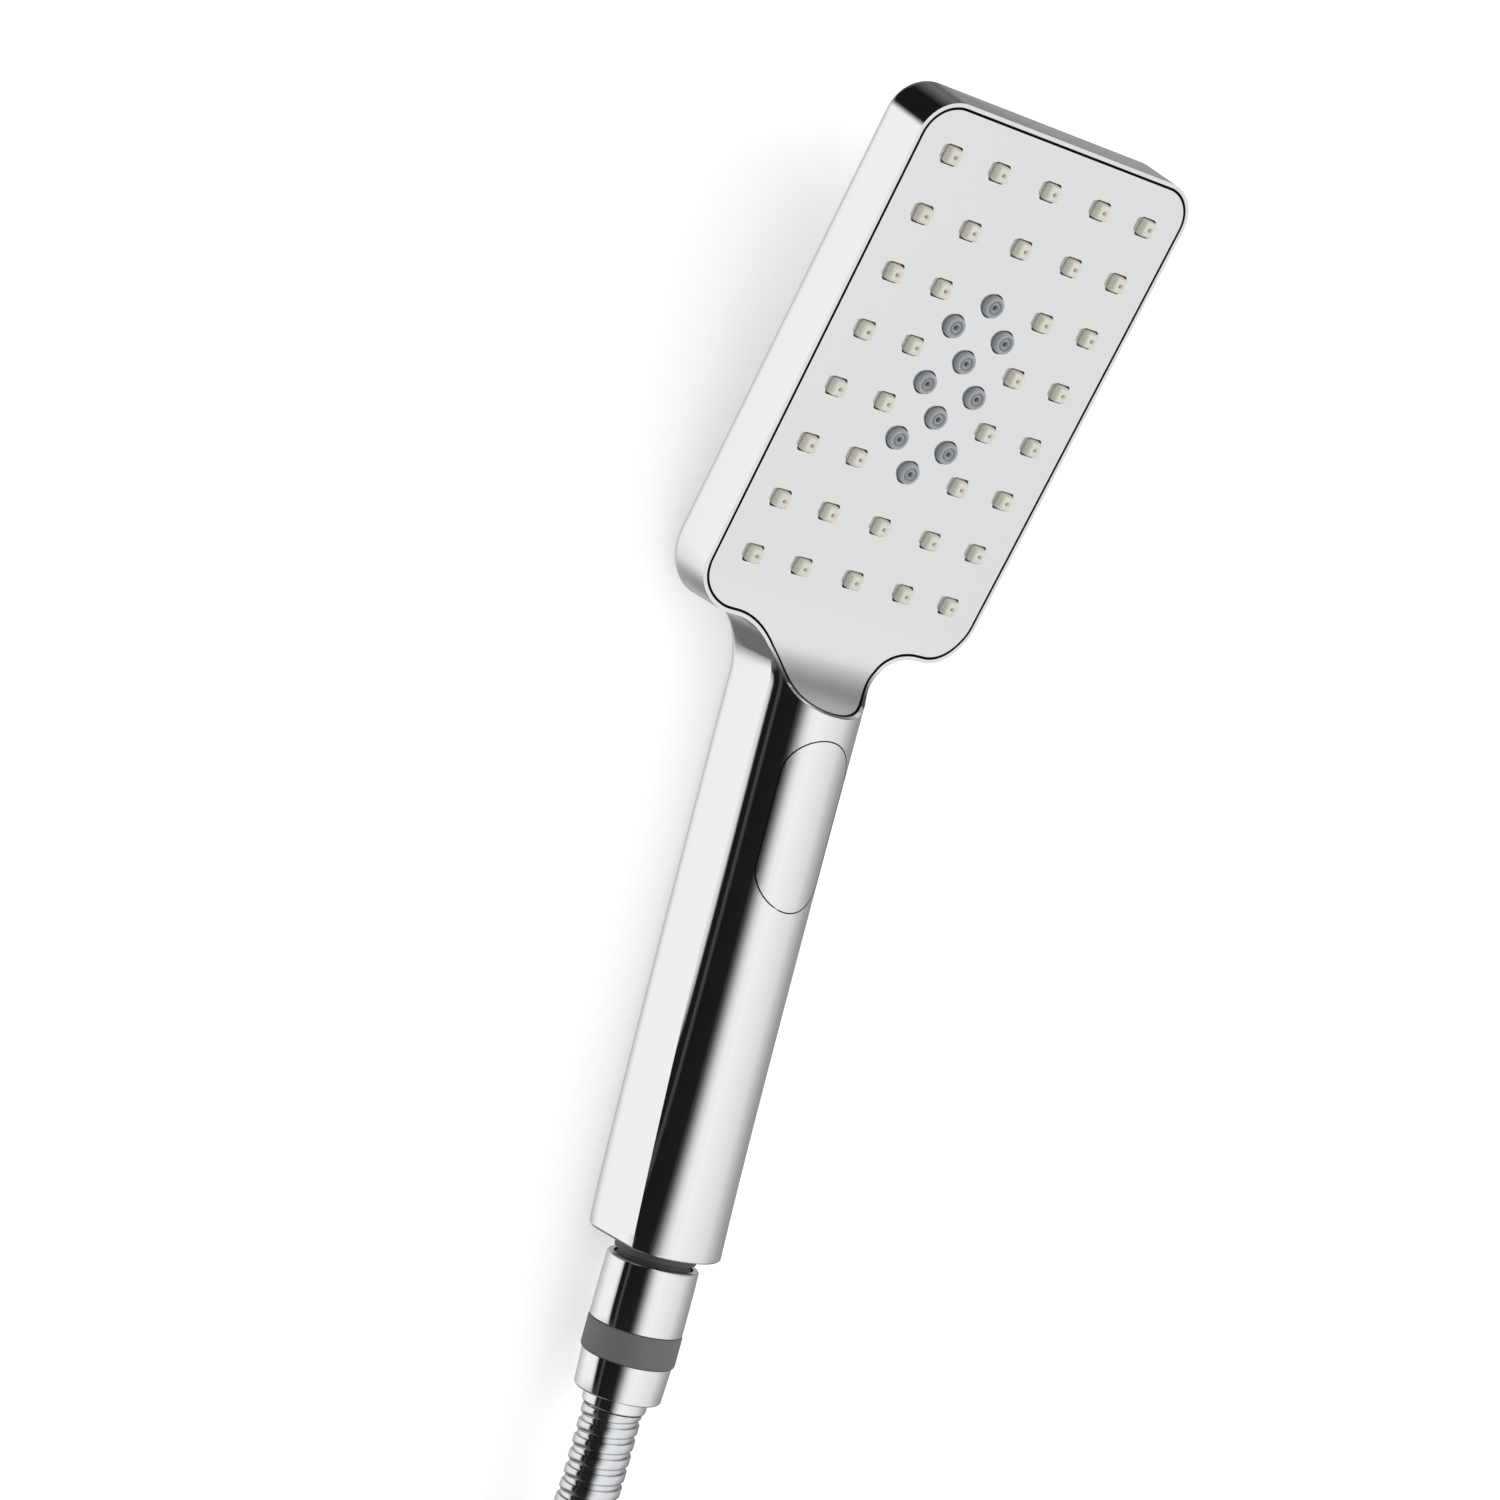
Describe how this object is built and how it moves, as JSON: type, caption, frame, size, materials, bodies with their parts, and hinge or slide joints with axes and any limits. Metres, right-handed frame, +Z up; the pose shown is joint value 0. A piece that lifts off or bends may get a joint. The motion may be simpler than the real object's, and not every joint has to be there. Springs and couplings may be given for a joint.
{
  "type": "handheld shower head",
  "caption": "Chrome hand shower with a flat rectangular spray face, a thumb button in the handle, a conical hose nut with a grip ring, and a metal hose with its stored length tied in a hank.",
  "frame": {"origin": "on the surface that the shower lies on, below the middle of the shower without its hose", "axes": "+Y along the handle towards the head, +Z up, out of the spray side, +X to the right seen from above with the head at the top"},
  "size_m": [0.1286, 0.7128, 0.063],
  "materials": {
    "chrome_plating": "polished",
    "hose_steel": "polished",
    "steel": "satin",
    "brass": "satin",
    "cream_silicone": "satin",
    "grey_silicone": "satin",
    "grip_rubber": "matte",
    "black_rubber": "matte",
    "white_plastic": "satin",
    "grey_plastic": "satin",
    "tie_plastic": "satin"
  },
  "bodies": {
    "shower": {"body_shell": "chrome_plating", "face_plate": "chrome_plating", "rain_nozzle_mat": "cream_silicone", "jet_nozzle_mat": "grey_silicone", "spray_carrier": "white_plastic", "distributor": "grey_plastic", "chamber_seal": "black_rubber", "head_screw_1": "steel", "head_screw_2": "steel", "head_screw_3": "steel", "head_screw_4": "steel", "head_screw_5": "steel", "head_screw_6": "steel", "selector_housing": "white_plastic", "selector_bonnet": "grey_plastic", "bonnet_o_ring": "black_rubber", "port_disc": "white_plastic", "button_spring": "steel", "waterway_tube": "white_plastic", "jet_duct": "white_plastic", "rain_duct": "white_plastic", "inlet_connector": "grey_plastic", "connector_o_ring": "black_rubber", "flow_regulator": "grey_plastic", "filter_washer": "black_rubber", "hose_tail": "brass", "hose_ferrule": "chrome_plating", "hose": "hose_steel", "hose_hank": "hose_steel", "hose_end": "hose_steel", "hank_tie": "tie_plastic", "supply_ferrule": "chrome_plating", "supply_tail": "brass", "supply_washer": "black_rubber"},
    "button": {"thumb_button": "chrome_plating"},
    "plunger": {"selector_plunger": "white_plastic"},
    "rotor": {"selector_rotor": "grey_plastic"},
    "nut": {"cone_nut": "chrome_plating", "grip_ring": "grip_rubber"},
    "wall_nut": {"supply_nut": "chrome_plating"}
  },
  "joints": [
    {"name": "button_press", "type": "slide", "parent": "shower", "child": "button", "axis": [0, 0, -1], "range_m": [0, 0.0025], "stiffness_N_per_m": 2000, "deforming": ["button_spring"]},
    {"name": "plunger_press", "type": "slide", "parent": "shower", "child": "plunger", "axis": [0, 0, -1], "range_m": [0, 0.0025]},
    {"name": "rotor_turn", "type": "hinge", "parent": "shower", "child": "rotor", "pos_m": [0, -0.01269, 0.009], "axis": [0, 0, 1], "range_deg": [0, 45]},
    {"name": "nut_spin", "type": "hinge", "parent": "shower", "child": "nut", "pos_m": [0, -0.15, 0.019], "axis": [0, 1, 0], "continuous": true},
    {"name": "wall_nut_spin", "type": "hinge", "parent": "shower", "child": "wall_nut", "pos_m": [-0.02, -0.34, 0.0483], "axis": [0, 1, 0], "continuous": true}
  ],
  "couplings": [
    {"joint": "plunger_press", "follows": "button_press", "ratio": 1},
    {"joint": "rotor_turn", "follows": "button_press", "rad_per_m": 314.16}
  ]
}
